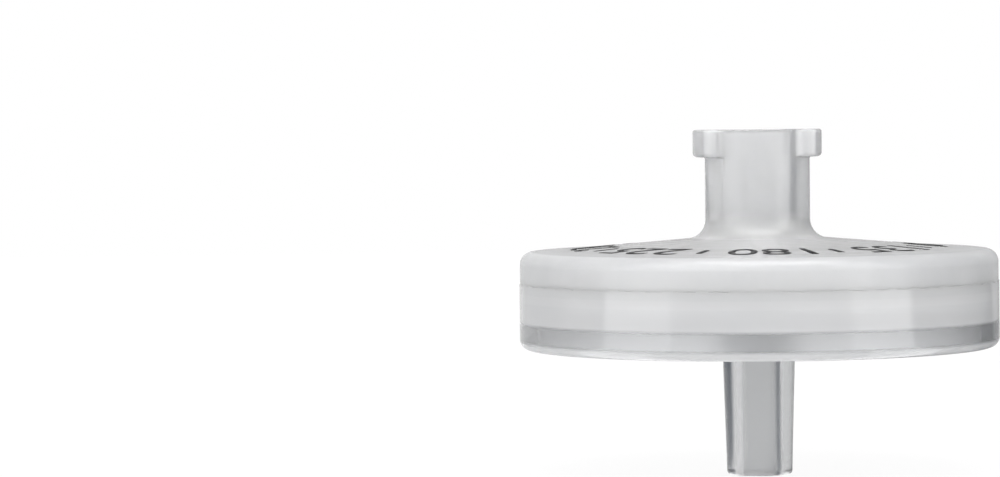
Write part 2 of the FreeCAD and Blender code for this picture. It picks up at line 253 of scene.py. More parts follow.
# %% Sizes of the upper moulding
rim_height, shoulder_width, shoulder_rise, dome_rise = 1.91, 3.06, 0.12, 0.72
neck_radius, lug_radius, lug_half_width, lug_height = 3.19, 3.93, 2.15, 1.7
mouth_radius, mouth_lead, socket_end_radius, socket_depth = 2.14, 0.2, 1.915, 7.5
passage_radius, well_radius, well_depth = 1.6, 3.83, 0.25
ceiling_gap, sector_drop, ring_drop, sector_radius = 0.9, 0.2, 0.4, 9.65
ring_first, ring_width, ring_pitch, ring_count = 4.88, 0.7, 1.45, 3
clamp_radii, clamp_end, tongue_radii = (11.6, 12.6), 11.4, (13.35, 13.85)
channel_half_width, channel_count = 0.7, 8

rim_top = seam + rim_height
shoulder = rim_top + shoulder_rise
dome_top = shoulder + dome_rise
ceiling = filter_top + ceiling_gap
well_top = ceiling + well_depth
socket_end = top - socket_depth
lug_bottom = top - lug_height
print(f"ceiling at {ceiling:.2f}, well at {well_top:.2f}, socket's end at {socket_end:.2f} mm")

# %% Outside of the upper moulding
SEAM_STEP, LUG_GAP = 0.03, 0.06
RIM_ROUNDING, SHOULDER_ROUNDING, NECK_ROUNDING = 0.76, 2.0, 1.15
FINE, COARSE = 7, 40

outside = outline(
    [
        (rim_radius, seam, 0),
        (rim_radius, seam + SEAM_STEP, 0),
        (rim_radius, seam + 2 * SEAM_STEP, 0),
        (rim_radius, rim_top, RIM_ROUNDING),
        (rim_radius - shoulder_width, shoulder, SHOULDER_ROUNDING),
        (neck_radius, dome_top, NECK_ROUNDING),
        (neck_radius, lug_bottom - LUG_GAP, 0),
    ]
)
dome_line = outside[outside[:, 1] > seam + rim_height / 2]
print(f"outside: {len(outside)} rows below the lugs")

# %% The weld's beads
BEAD_WAVES, BEAD_CAP = np.arange(5, 90), 0.8
OPENINGS = {"seed": 9, "level": 0.7}
BEADS = {"seed": 4, "level": -0.2}


def seam_beads(angle, seed, level):
    """How far the weld stands out of the seam, or is open, from 0 to 1, at each angle.

    A sum of waves of many lengths, cut off below a level, leaves short beads with gaps between.
    """
    rng = np.random.default_rng(seed)
    phase = rng.uniform(0, 2 * math.pi, len(BEAD_WAVES))
    weight = rng.normal(0, 1, len(BEAD_WAVES)) / np.sqrt(len(BEAD_WAVES) / 2)
    total = (np.sin(angle[..., None] * BEAD_WAVES + phase) * weight).sum(-1)
    return np.clip(total - level, 0, BEAD_CAP) / BEAD_CAP


print(f"waves of {360 / BEAD_WAVES[-1]:.0f} to {360 / BEAD_WAVES[0]:.0f} degrees make the beads")

# %% The two lugs
# How softly the lug's outline turns and meets the neck, then its lower and its upper edge.
LUG_BLEND, LUG_FADE, LEAST_SINE, LUG_FOOT = 0.6, 0.5, 0.2, 0.05
LOWER_ARC, LOWER_RISE, LOWER_STEP = 0.3, 0.28, 0.02
UPPER_ARC, UPPER_RISE, UPPER_FLAT, TOP_EDGE = 0.12, 0.14, 0.2, 0.06
LUG_ROWS = 7


def soft_least(a, b, blend):
    """The smaller of two values, rounded where they are within the blend of each other."""
    near = np.clip(1 - np.abs(a - b) / blend, 0, 1)
    return np.minimum(a, b) - near**2 * blend / 4


def lug_rows(angle):
    """A block of the rows that climb the lugs.

    The lug's outline is the least of its disc and of half width / |sin angle|. A row stands at
    the neck plus the lug's reach, less an arc at the lower edge and a smaller one at the top.
    """
    flats = lug_half_width / np.maximum(np.abs(np.sin(angle)), LEAST_SINE)
    inward = neck_radius - soft_least(lug_radius, flats, LUG_BLEND)
    reach = np.maximum(-soft_least(inward, 0 * angle, LUG_FADE), 0)
    low, high = np.minimum(reach, LOWER_ARC), np.minimum(reach, UPPER_ARC) + TOP_EDGE
    swing = np.linspace(0, math.pi / 2, LUG_ROWS)[:, None]
    radii = [
        neck_radius + np.minimum(reach, LUG_FOOT),
        neck_radius + reach - low * (1 - np.sin(swing)),
        neck_radius + reach,
        neck_radius + reach - high * (1 - np.cos(swing[1:])),
    ]
    heights = [
        [[lug_bottom]],
        lug_bottom + LOWER_STEP + LOWER_RISE * (1 - np.cos(swing)),
        [[top - UPPER_FLAT]],
        top - UPPER_RISE + UPPER_RISE * np.sin(swing[1:]),
    ]
    return np.vstack(radii), angle, np.vstack(heights)


reaches = lug_rows(np.radians([[0.0, 90.0]]))[0].max(0)
print(f"radius {reaches[0]:.2f} mm at a lug's middle and {reaches[1]:.2f} mm between the lugs")

# %% Inside of the upper moulding
WELL_STEP, CREST_STEP, FOOT_STEP, RIM_STEP = 0.3, 0.03, 0.5, 0.1
WELL_ROWS = 6

# As in every outline, a corner is a radius, a height and a rounding.
inside_top = outline(
    [
        (mouth_radius + mouth_lead + TOP_EDGE, top, 0),
        (mouth_radius + mouth_lead, top, 0.04),
        (mouth_radius, top - mouth_lead, 0.1),
        (socket_end_radius, socket_end, 0.12),
        (passage_radius, socket_end, 0.06),
        (passage_radius, well_top, 0.08),
        (passage_radius + WELL_STEP, well_top, 0),
    ]
)


def ceiling_rows():
    """Rows from the well out to the clamping skirt: radius, channel height, sector height.

    Each edge of a ring stands a draft inside its foot, so its walls lean as moulded walls do.
    """
    sector = ceiling - sector_drop
    crest = sector - ring_drop
    well = np.linspace(passage_radius + 2 * WELL_STEP, well_radius - WALL_DRAFT, WELL_ROWS)
    rows = [(radius, well_top, well_top) for radius in well]
    rows += [(well_radius, well_top - CREST_STEP, well_top - CREST_STEP)]
    rows += [(well_radius + WALL_DRAFT, ceiling, sector)]
    for ring in range(ring_count):
        inner = ring_first + ring_pitch * ring
        outer = inner + ring_width
        rows += [(inner - WALL_DRAFT, ceiling, sector), (inner, ceiling, crest + CREST_STEP)]
        rows += [(inner + CREST_STEP, ceiling, crest), (outer - CREST_STEP, ceiling, crest)]
        rows += [(outer, ceiling, crest + CREST_STEP), (outer + WALL_DRAFT, ceiling, sector)]
    rows += [(sector_radius - CREST_STEP, ceiling, sector)]
    rows += [(sector_radius + WALL_DRAFT, ceiling, ceiling)]
    return np.array(rows)


inside_foot = outline(
    [
        (sector_radius + FOOT_STEP, ceiling, 0),
        (clamp_radii[0], ceiling, 0.25),
        (clamp_radii[0], clamp_end, 0.08),
        (clamp_radii[1], clamp_end, 0.08),
        (clamp_radii[1], seam, 0.06),
        (tongue_radii[0], seam, 0.06),
        (tongue_radii[0], tongue_end, 0.1),
        (tongue_radii[1], tongue_end, 0.1),
        (tongue_radii[1], seam, 0.06),
        (rim_radius - RIM_STEP, seam, 0),
    ]
)
print(f"inside: {len(inside_top)} rows in the socket, {len(ceiling_rows())} on the ceiling")

# %% Build the upper moulding
# The columns follow the star from just inside its inner wall and are even again just outside it.
STAR_LEAD, EASE_WIDTH = 0.1, 0.1


def make_upper():
    """One closed grid: up the outside, over the lugs, down the socket and out along the ceiling."""
    star = ceiling_rows()
    held = np.clip(star[:, 0], well_radius, sector_radius)
    channel = [(channel_half_width, well_radius)]
    starred, owner = star_angles(held, channel, channel_count, FINE, COARSE)
    even = even_angles(len(owner), FINE)
    from_well = star[:, 0] - passage_radius - WELL_STEP
    follow = np.clip(from_well / (well_radius - STAR_LEAD - passage_radius - WELL_STEP), 0, 1)
    starred = eased(even, starred, follow[:, None])
    height = np.where(owner == 0, star[:, 1:2], star[:, 2:3])
    beyond = sector_radius + WALL_DRAFT + EASE_WIDTH * EASE
    walls = outside[:, :1] + np.zeros_like(even)
    walls[0] -= seam_beads(even[0], **OPENINGS) * SEAM_STEP
    blocks = [
        (walls, even, outside[:, 1:]),
        lug_rows(even),
        turned(inside_top, even),
        (star[:, :1], starred, height),
        (beyond, eased(even, starred[-1:], EASE[::-1]), ceiling),
        turned(inside_foot, even),
    ]
    return new_moulding("upper_moulding", blocks)


upper = make_upper()
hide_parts("inlet_housing")

# %% [markdown]
# ## The lower moulding
#
# The lower shell is the polished one. Its skirt ends in a rounded lip round a shallow recess, and
# the tapered tip grows out of the recess's roof. On top, under the felt, a floor with long and
# short radial ribs leads the liquid to the bore.
#
# The tip and the skirt alone could be turned with the Screw modifier, and the ribs added as boxes.
# One grid with columns that follow the ribs needs no Boolean, and leaves no seam between them.

# %% Sizes of the lower moulding
tip_radius, tip_root_radius, bore_radius = 1.983, 2.27, 1.0
lip, recess_roof, floor_level, rib_top = 7.75, 9.55, 10.8, 11.1
lip_inner_radius, groove_radii, groove_end = 13.48, (13.3, 13.9), 11.05
pocket_radius, seat_radius, rib_outer_radius = 12.7, 11.5, 10.9
rib_half_width, long_start, short_start, rib_count = 0.225, 2.2, 6.0, 16
print(f"skirt {seam - lip:.2f} mm tall, tip {recess_roof - tip_end:.2f} mm long")

# %% Outlines of the lower moulding
# The grid's first and last rows meet on the flat of the lip, LIP_MIDDLE from its inner wall.
LIP_MIDDLE, SEAM_INSET, SEAT_STEP, BORE_STEP = 0.35, 0.12, 0.3, 0.25
RIM_CLEARANCE, WELD_FILM = 0.003, 0.005

skirt_line = outline(
    [
        (lip_inner_radius + LIP_MIDDLE, lip, 0),
        (skirt_radius, lip, 0.6),
        (skirt_radius, seam - 3 * SEAM_STEP, 0),
        (skirt_radius, seam - SEAM_STEP, 0),
        (rim_radius + RIM_CLEARANCE, seam, 0),
    ]
)
seat_line = outline(
    [
        (skirt_radius - SEAM_INSET, seam - WELD_FILM, 0),
        (groove_radii[1], seam - WELD_FILM, 0.05),
        (groove_radii[1], groove_end, 0.1),
        (groove_radii[0], groove_end, 0.1),
        (groove_radii[0], seam - WELD_FILM, 0.05),
        (pocket_radius, seam - WELD_FILM, 0.05),
        (pocket_radius, filter_bottom, 0.06),
        (seat_radius, filter_bottom, 0.05),
        (seat_radius, floor_level, 0.1),
        (rib_outer_radius + SEAT_STEP, floor_level, 0),
    ]
)
tip_line = outline(
    [
        (bore_radius + BORE_STEP, floor_level, 0),
        (bore_radius, floor_level, 0.12),
        (bore_radius, tip_end, 0.08),
        (tip_radius, tip_end, 0.22),
        (tip_root_radius, recess_roof, 0.5),
        (lip_inner_radius, recess_roof, 0.3),
        (lip_inner_radius, lip, 0.25),
        (lip_inner_radius + LIP_MIDDLE, lip, 0),
    ]
)[:-1]
print(f"rows: {len(skirt_line)} on the skirt, {len(seat_line)} in the seat, {len(tip_line)} below")

# %% Build the lower moulding
RIB_FINE, RIB_COARSE = 4, 8
FLOOR_EDGE, FLOOR_MOUTH, WELD_BEAD = 0.25, 0.4, 0.06


def rib_rows():
    """Rows of the drain floor from its edge to the bore: radius, long and short ribs' heights."""
    out, mid, low = rib_outer_radius, short_start, long_start
    up, down = rib_top, floor_level
    edge = rib_top - CREST_STEP
    rows = [(out + WALL_DRAFT, down, down), (out, edge, edge), (out - CREST_STEP, up, up)]
    rows += [(mid + CREST_STEP, up, up), (mid, up, edge), (mid - WALL_DRAFT, up, down)]
    rows += [(low + CREST_STEP, up, down), (low, edge, down), (low - WALL_DRAFT, down, down)]
    return np.array(rows)


def make_lower():
    """One closed grid: up the skirt, in over the seam and the floor, down the bore, up the tip."""
    ribs = rib_rows()
    bars = [(rib_half_width, long_start), (rib_half_width, short_start)]
    ribbed, owner = star_angles(ribs[:, 0], bars, rib_count, RIB_FINE, RIB_COARSE)
    even = even_angles(len(owner), RIB_FINE)
    short_height = np.where(owner == 1, ribs[:, 2:3], floor_level)
    rib_height = np.where(owner == 0, ribs[:, 1:2], short_height)
    near_edge = rib_outer_radius + FLOOR_EDGE - (FLOOR_EDGE - WALL_DRAFT) * EASE
    near_bore = long_start - WALL_DRAFT - (long_start - bore_radius - FLOOR_MOUTH) * EASE

    blank, beads = np.zeros_like(even), seam_beads(even[0], **BEADS)
    skirt_radii, skirt_heights = skirt_line[:, :1] + blank, skirt_line[:, 1:] + blank
    skirt_radii[-1] -= seam_beads(even[0], **OPENINGS) * SEAM_STEP
    skirt_radii[-1] += beads * (skirt_radius - rim_radius - RIM_CLEARANCE)
    skirt_heights[-1] += beads * WELD_BEAD
    print(f"weld beads on {(beads > 0).mean():.0%} of the seam")
    blocks = [
        (skirt_radii, even, skirt_heights),
        turned(seat_line, even),
        (near_edge, eased(even, ribbed[:1], EASE), floor_level),
        (ribs[:, :1], ribbed, rib_height),
        (near_bore, eased(even, ribbed[-1:], EASE[::-1]), floor_level),
        turned(tip_line, even),
    ]
    return new_moulding("lower_moulding", blocks)


lower = make_lower()
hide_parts("outlet_housing")

# %% [markdown]
# ## The felt disc
#
# The filter medium is a white glass-fibre felt, soft and a little uneven, and the clamping skirt
# crushes its edge. A plain cylinder would read as card, so the sheet is a grid that runs from one
# pole to the other: its top sinks where it is clamped and waves slightly between.

# %% Build the felt disc
FELT_COLUMNS, UNDER_ROWS, OVER_ROWS = 256, 40, 60
POLE_RADIUS, CRUSH_SLOPE, WAVE_DEPTH = 0.03, 1.6, 0.012
EDGE_START, EDGE_STEP, OVER_STEP = 0.09, 0.1, 0.12


def make_felt():
    """A closed sheet: rows from the middle of the underside round the edge to the middle on top.

    The top's height is the free level, lowered by a smooth step towards the clamped edge, plus
    a few soft waves across the sheet.
    """
    crush = filter_top - clamp_end
    reach = np.linspace(POLE_RADIUS, 1, UNDER_ROWS)
    under = np.stack([reach * (filter_radius - EDGE_STEP), 0 * reach + filter_bottom], -1)
    edge = outline(
        [
            (filter_radius - EDGE_START, filter_bottom, 0),
            (filter_radius, filter_bottom, 0.06),
            (filter_radius, clamp_end, 0.06),
            (filter_radius - EDGE_STEP, clamp_end, 0),
        ]
    )
    inward = np.linspace(0, 1, OVER_ROWS)
    over_start = filter_radius - OVER_STEP
    over_radius = over_start - (over_start - POLE_RADIUS) * inward
    step = np.clip((clamp_radii[0] - over_radius) / (crush * CRUSH_SLOPE), 0, 1)
    over = np.stack([over_radius, clamp_end + crush * step * step * (3 - 2 * step)], -1)
    rows = np.vstack([under, edge[1:-1], over])
    angle = even_angles(FELT_COLUMNS, 1)
    radius, height = rows[:, :1] + 0 * angle, rows[:, 1:] + 0 * angle
    free = np.clip((rows[:, 1:] - clamp_end) / crush, 0, 1)
    across, along = radius * np.cos(angle), radius * np.sin(angle)
    wave = np.sin(1.3 * across + 0.7 * along) * np.sin(0.9 * along - 0.4 * across + 1)
    height = height + WAVE_DEPTH * free * (wave - 1)
    poles = [[0, 0, filter_bottom], [0, 0, height[-1].mean()]]
    points = np.vstack([polar(radius, angle, height), poles])
    faces = ring_quads(len(rows), FELT_COLUMNS, False).tolist()
    here = np.arange(FELT_COLUMNS)
    there, last = (here + 1) % FELT_COLUMNS, (len(rows) - 1) * FELT_COLUMNS
    bottom, peak = len(points) - 2, len(points) - 1
    faces += np.stack([there, here, 0 * here + bottom], -1).tolist()
    faces += np.stack([last + here, last + there, 0 * here + peak], -1).tolist()
    return new_piece("felt_disc", points, faces)


felt = make_felt()
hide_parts("filter_disc")

# %% [markdown]
# ## The printed ring
#
# Such filters carry a ring of black pad print on the dome. Here it is a plain dial: the degrees
# 45 to 360 with a short stroke between each two. Letters made with a text object are flat, so each
# number is made a mesh, and its points are then carried onto the dome: the distance across
# becomes an angle, the distance up becomes a radius, and the height is read from the dome's own
# outline. The ink is a film that lies a few microns proud of the plastic.

# %% Flat numbers and strokes
PRINT_HEIGHT, LETTER_STEPS = 2.7, 6
STROKE_WIDTH, STROKE_HEIGHT, STROKE_POINTS = 0.34, 1.5, 9


def flat_number(text):
    """Points and faces of a number, centred on the origin and PRINT_HEIGHT tall."""
    curve = bpy.data.curves.new("number", "FONT")
    curve.body = text
    curve.align_x = "CENTER"
    curve.resolution_u = LETTER_STEPS
    maker = add_object("number", curve)
    depsgraph = bpy.context.evaluated_depsgraph_get()
    mesh = bpy.data.meshes.new_from_object(maker.evaluated_get(depsgraph))
    points = np.zeros(len(mesh.vertices) * 3)
    mesh.vertices.foreach_get("co", points)
    points = points.reshape(-1, 3)[:, :2]
    faces = [list(p.vertices) for p in mesh.polygons]
    bpy.data.objects.remove(maker)
    bpy.data.curves.remove(curve)
    bpy.data.meshes.remove(mesh)
    low, high = points.min(0), points.max(0)
    return (points - (low + high) / 2) * PRINT_HEIGHT / (high[1] - low[1]), faces


def flat_stroke():
    """Points and faces of an upright stroke, in short steps so that it bends with the dome."""
    up = np.linspace(-0.5, 0.5, STROKE_POINTS) * STROKE_HEIGHT
    points = np.vstack([np.stack([0 * up + side * STROKE_WIDTH / 2, up], -1) for side in (-1, 1)])
    here = np.arange(len(up) - 1)
    right = here + len(up)
    return points, np.stack([here, right, right + 1, here + 1], -1).tolist()


print(f"a stroke has {len(flat_stroke()[1])} faces and is {STROKE_WIDTH} mm wide")

# %% Build the printed ring
INK_LIFT, INK_FILM = 0.006, 0.012
PRINT_RADIUS, NUMBERS = 10.15, 8


def dome_height(radius):
    """Height of the dome's surface at a radius, read along its outline."""
    line = dome_line[np.argsort(dome_line[:, 0])]
    return np.interp(radius, line[:, 0], line[:, 1])


def make_print():
    """The numbers wrapped round the dome: angle = place + x / ring radius, radius = ring + y."""
    points, faces, count = [], [], 0
    for k in range(1, NUMBERS + 1):
        place = math.pi / 2 - 2 * math.pi * k / NUMBERS
        number, stroke = flat_number(str(360 // NUMBERS * k)), flat_stroke()
        for (flat, flat_faces), ahead in [(number, 0), (stroke, math.pi / NUMBERS)]:
            angle = place + ahead - flat[:, 0] / PRINT_RADIUS
            radius = PRINT_RADIUS + flat[:, 1]
            points.append(polar(radius, angle, dome_height(radius) + INK_LIFT))
            faces += [[count + i for i in face] for face in flat_faces]
            count += len(flat)
    piece = new_piece("print_ring", np.vstack(points), faces)
    film = piece.modifiers.new("film", "SOLIDIFY")
    film.thickness = INK_FILM * MM
    film.offset = 1
    return piece


print_ring = make_print()

# %% [markdown]
# ## Sums on sockets
#
# A material is a small calculation that runs at every point of a surface. Written as a chain of
# add-node and link calls it can't be read, so one class wraps a socket and gives it Python's
# operators: each adds a Math node. Everything else, such as a noise or a mix of colours, comes
# from the method `node`, which sets the node's own settings first and then its inputs.

# %% The wrapped socket


class Flow:
    """A value that flows from a node's socket. The operators + - * / add Math nodes to it."""

    def __init__(self, socket):
        self.socket = socket

    def node(self, kind, settings=(), output=0, **inputs):
        """Any other node. Inputs are named with _ for a space, or as n0, n1 for a place."""
        made = self.socket.id_data.nodes.new(kind)
        for name, value in dict(settings).items():
            setattr(made, name, value)
        for name, value in inputs.items():
            entry = made.inputs[int(name[1:]) if name[1:].isdigit() else name.replace("_", " ")]
            if isinstance(value, Flow):
                made.id_data.links.new(value.socket, entry)
            else:
                entry.default_value = value
        return Flow(made.outputs[output])

    def maths(self, operation, first, second=0.0):
        return self.node("ShaderNodeMath", {"operation": operation}, n0=first, n1=second)

    def __add__(self, other):
        return self.maths("ADD", self, other)

    def __sub__(self, other):
        return self.maths("SUBTRACT", self, other)

    def __mul__(self, other):
        return self.maths("MULTIPLY", self, other)

    def __truediv__(self, other):
        return self.maths("DIVIDE", self, other)

    def __rsub__(self, other):
        return self.maths("SUBTRACT", other, self)

    def __rtruediv__(self, other):
        return self.maths("DIVIDE", other, self)

    __radd__, __rmul__ = __add__, __mul__

    def root(self):
        return self.maths("SQRT", self)

    def step(self, low, high):
        """0 below low, 1 above high, and a smooth rise between them."""
        smooth = {"interpolation_type": "SMOOTHSTEP"}
        return self.node("ShaderNodeMapRange", smooth, Value=self, From_Min=low, From_Max=high)

    def between(self, low, high, soft):
        """1 between low and high, falling to 0 over the soft distance outside."""
        return self.step(low - soft, low) * (1 - self.step(high, high + soft))

    def colours(self, dark, light):
        """Mixes two colours, each plain or a flow, by this value, from 0 to 1."""
        dark, light = (end if isinstance(end, Flow) else (*end, 1) for end in (dark, light))
        rgba = {"data_type": "RGBA"}
        return self.node("ShaderNodeMix", rgba, output=2, n0=self, n6=dark, n7=light)

    def noise(self, scale, detail):
        """Cloudy noise at this position, with about scale patches to the metre."""
        return self.node("ShaderNodeTexNoise", Vector=self, Scale=scale, Detail=detail)

    def split(self):
        """The three parts of this position or direction."""
        parts = self.node("ShaderNodeSeparateXYZ", Vector=self).socket.node.outputs
        return [Flow(part) for part in parts]


# %% New materials


def new_material(name):
    """A new material with only its output node left, and the position in object space."""
    material = bpy.data.materials.new(name)
    material.use_nodes = True
    tree = material.node_tree
    tree.nodes.remove(tree.nodes["Principled BSDF"])
    return material, Flow(tree.nodes.new("ShaderNodeTexCoord").outputs["Object"])


def set_surface(material, shader):
    """Joins a shader to the material's output and returns the material."""
    tree = material.node_tree
    tree.links.new(shader.socket, tree.nodes["Material Output"].inputs["Surface"])
    print(f"{material.name}: {len(tree.nodes)} nodes")
    return material


def radius_and_height(place):
    """Distance from the flow axis and height, in millimetres, from the object-space position."""
    across, along, up = place.split()
    return (across * across + along * along).root() / MM, up / MM


def bumped(height, depth):
    """A Bump node for a height from 0 to 1 that stands for depth in millimetres."""
    return height.node("ShaderNodeBump", Height=height, Distance=depth * MM, Strength=1.0)


# %% [markdown]
# ## Cloudy plastic
#
# Natural polypropylene is neither clear nor white: light enters it, scatters and leaves again
# further on. A volume shader could follow that light, but it is slow and noisy in walls this thin.
# Two surface effects carry the look instead: a part of the light passes through, blurred by the
# surface's roughness, and the rest is scattered inside, which Subsurface stands for. Both
# mouldings mix a milky and a clear version of the same plastic.

# %% Natural polypropylene
POLYPROPYLENE = {"IOR": 1.49, "Subsurface_Radius": (1.0, 1.0, 1.05), "Subsurface_Scale": 0.0012}
MILKY = {"Transmission_Weight": 0.25, "Subsurface_Weight": 0.6} | POLYPROPYLENE
CLEAR = {"Transmission_Weight": 0.95, "Subsurface_Weight": 0.3} | POLYPROPYLENE
SHADED = (0.6, 0.605, 0.615)
print(f"light passes: {MILKY['Transmission_Weight']} milky, {CLEAR['Transmission_Weight']} clear")


def plastic(place, clearness, milky_colour, clear_colour, **shared):
    """Natural polypropylene: milky where the wall is thick, and clearer as clearness nears 1."""
    milky = place.node("ShaderNodeBsdfPrincipled", Base_Color=milky_colour, **shared, **MILKY)
    clear = place.node("ShaderNodeBsdfPrincipled", Base_Color=clear_colour, **shared, **CLEAR)
    return place.node("ShaderNodeMixShader", n0=clearness, n1=milky, n2=clear)


# %% [markdown]
# ## Frosted upper shell
#
# The upper moulding comes from a spark-eroded mould, so its outside is frosted, with a fine grain
# and faint smudges from handling. The grain could be moved vertices, but it is far finer than the
# grid, so a Bump node carries it. The star of channels inside shimmers through the dome. Such
# plastic only hints at it, so painted highlights lighten the colour and lower the clearness a
# little over the channels and the ring edges, at their true radii, where light comes through and
# off the inner walls.

# %% Star seen through the dome, as painted highlights
# Where the painted highlights over the channels and the ring edges fade in and out, in millimetres.
CHANNEL_EDGE, RING_EDGE, RING_ENDS = (0.5, 0.9), (0.06, 0.24), (0.8, 1.1)


def painted_star_highlights(place, radius):
    """1 where the channels and the ring edges of the ceiling shimmer through the dome: a mask of
    painted highlights.

    The distance to the nearest channel's axis is r * sin(angle folded into an eighth of a turn).
    The ring edges lie about half a ring pitch apart, so they are a folded radius.
    """
    across, along, _ = place.split()
    angle = radius.maths("ARCTAN2", along, across)
    folded = angle.maths("PINGPONG", angle, math.pi / channel_count)
    aside = radius * folded.maths("SINE", folded)
    channel = (1 - aside.step(*CHANNEL_EDGE)) * radius.between(well_radius, sector_radius, 0.3)
    edge = radius.maths("PINGPONG", radius - ring_first, ring_pitch / 4)
    last_ring = ring_first + ring_pitch * ring_count - ring_width
    rings = (1 - edge.step(*RING_EDGE)) * radius.between(ring_first, last_ring, 0.2)
    rings = rings * aside.step(*RING_ENDS)
    uneven = place.noise(110, 1).step(0.35, 0.65)
    return channel.maths("MAXIMUM", 0.8 * channel, rings) * (0.35 + 0.65 * uneven)


# %% Frosted upper shell
FROSTED_MILKY = SHADED, (0.83, 0.83, 0.83)
FROSTED_CLEAR = (0.93, 0.935, 0.945), (0.99, 0.99, 0.99)
GRAIN_DEPTH = 0.008
# Where each mask rises from 0 to 1, as radii or levels.
INSIDE_RADII, INSIDE_LEVELS = (13.0, 13.6), (ceiling + 0.3, ceiling + 0.8)
LUG_RADII, LUG_LEVELS = (3.2, 3.4), (lug_bottom - 0.1, lug_bottom)
NECK_LEVELS = dome_top + 0.6, dome_top + 1.8
DOME_END, RIM_START = (9.6, 10.6), (11.0, 13.0)


def frosted_plastic():
    """Frosted outside, smoother inside, with a fine eroded grain and faint handling smudges."""
    material, place = new_material("frosted_polypropylene")
    radius, height = radius_and_height(place)
    cloud = place.noise(260, 3).step(0.3, 0.7)
    grain = place.noise(9000, 2)
    smudge = place.noise(420, 4).step(0.52, 0.68)
    inside = (1 - height.step(*INSIDE_LEVELS)) * (1 - radius.step(*INSIDE_RADII))
    neck = height.step(*NECK_LEVELS)
    lug = radius.step(*LUG_RADII) * height.step(*LUG_LEVELS)
    dome = 1 - 0.45 * radius.step(*DOME_END) - 0.55 * radius.step(*RIM_START)
    # star is painted highlights: the channels and ring edges inside are painted lighter and less
    # clear on the dome.
    star = painted_star_highlights(place, radius)
    milky = 0.2 * cloud + 0.6 * dome - 0.25 * neck - 0.2 * lug + 0.18 * star
    shader = plastic(
        place,
        clearness=0.36 * dome + 0.22 * neck - 0.2 * lug - 0.09 * star,
        milky_colour=milky.colours(*FROSTED_MILKY),
        clear_colour=(0.2 * cloud + 0.5 * star).colours(*FROSTED_CLEAR),
        Roughness=0.26 - 0.02 * cloud - 0.03 * smudge - 0.06 * inside - 0.07 * neck,
        Normal=bumped(grain * (1 - 0.6 * neck), GRAIN_DEPTH),
    )
    return set_surface(material, shader)


upper.data.materials.append(frosted_plastic())

# %% [markdown]
# ## Clear lower shell
#
# The lower moulding comes from a polished mould: glossy, nearly clear in the skirt and in the tip,
# and cloudier at the weld. Its wide faces aren't quite flat, because moulded plastic shrinks as it
# cools. Vertices could be moved for that, but long soft waves in a Bump node bend the reflections
# in the same way and keep the outline true.

# %% Clear lower shell
POLISHED_MILKY = SHADED, (0.7, 0.7, 0.705)
POLISHED_CLEAR = (0.77, 0.78, 0.795), (0.7, 0.705, 0.71)
TIP_RADII, WAVE_BUMP = (2.3, 3.0), 0.01
# From, to and the soft distance outside.
RECESS_RADII = 2.6, 13.5, 0.3
SKIRT_LEVELS = lip + 0.65, recess_roof - 0.3, 0.3
WELD_LEVELS = groove_end - 0.3, groove_end + 0.1, 0.12


def clear_plastic():
    """Polished and slightly cloudy, with long soft waves that bend the reflections."""
    material, place = new_material("clear_polypropylene")
    radius, height = radius_and_height(place)
    cloud = place.noise(180, 2).step(0.3, 0.7)
    waves = place.noise(330, 1)
    skirt = height.between(*SKIRT_LEVELS)
    weld = height.between(*WELD_LEVELS)
    tip = 1 - radius.step(*TIP_RADII)
    recess = radius.between(*RECESS_RADII)
    shader = plastic(
        place,
        clearness=tip.maths("MAXIMUM", 0.88 * skirt, 0.94 * tip),
        milky_colour=(0.2 * cloud + 0.2 * weld + 0.8 * tip).colours(*POLISHED_MILKY),
        clear_colour=(0.2 * cloud + 0.8 * tip).colours(*POLISHED_CLEAR),
        Roughness=0.05 + 0.03 * cloud + 0.13 * tip + 0.33 * recess,
        Normal=bumped(waves, WAVE_BUMP),
    )
    return set_surface(material, shader)


lower.data.materials.append(clear_plastic())

# %% [markdown]
# ## Felt and ink
#
# Glass-fibre felt is a mat of fine white fibres and fully matt. Hair strands could draw each
# fibre, but they would be thousands of curves inside a closed housing, so two noises of different
# size give the height and the colour. Pad print is a thin, slightly glossy film of ink, a little
# thin in specks where the pad lifted.

# %% Felt
FELT_COLOURS = (0.86, 0.86, 0.85), (0.94, 0.94, 0.93)
FIBRE_DEPTH = 0.05


def felt_fibres():
    """White glass-fibre felt: fine crossing fibres from two noises, fully matt."""
    material, place = new_material("glass_fibre_felt")
    height = place.noise(5200, 6) * 0.7 + place.noise(900, 2) * 0.3
    shader = place.node(
        "ShaderNodeBsdfPrincipled",
        Base_Color=height.step(0.35, 0.65).colours(*FELT_COLOURS),
        Roughness=0.95,
        Normal=bumped(height, FIBRE_DEPTH),
    )
    return set_surface(material, shader)


felt.data.materials.append(felt_fibres())

# %% Ink
INK_COLOURS = (0.012, 0.012, 0.013), (0.05, 0.05, 0.05)


def pad_ink():
    """Black pad print, slightly thin in specks."""
    material, place = new_material("pad_print")
    specks = place.noise(6000, 2).step(0.62, 0.72)
    shader = place.node(
        "ShaderNodeBsdfPrincipled",
        Base_Color=specks.colours(*INK_COLOURS),
        Roughness=0.5 + 0.1 * specks,
        Specular_IOR_Level=0.25,
    )
    return set_surface(material, shader)


print_ring.data.materials.append(pad_ink())

# %% [markdown]
# ## The camera
#
# The part stands on its tip, and the camera looks at it from the side and slightly from above. A
# short lens could stand nearer, but it would open the rim and the skirt into wide ellipses, so a
# long lens stands well back and shows them almost flat.

# %% Camera
CAMERA_PLACE = Vector((-15.73, -217.0, 21.03)) * MM
CAMERA_PITCH, CAMERA_ROLL = math.radians(1.714), math.radians(0.616)
LENS_IN_WIDTHS, CLIP_START = 3.558, 0.01

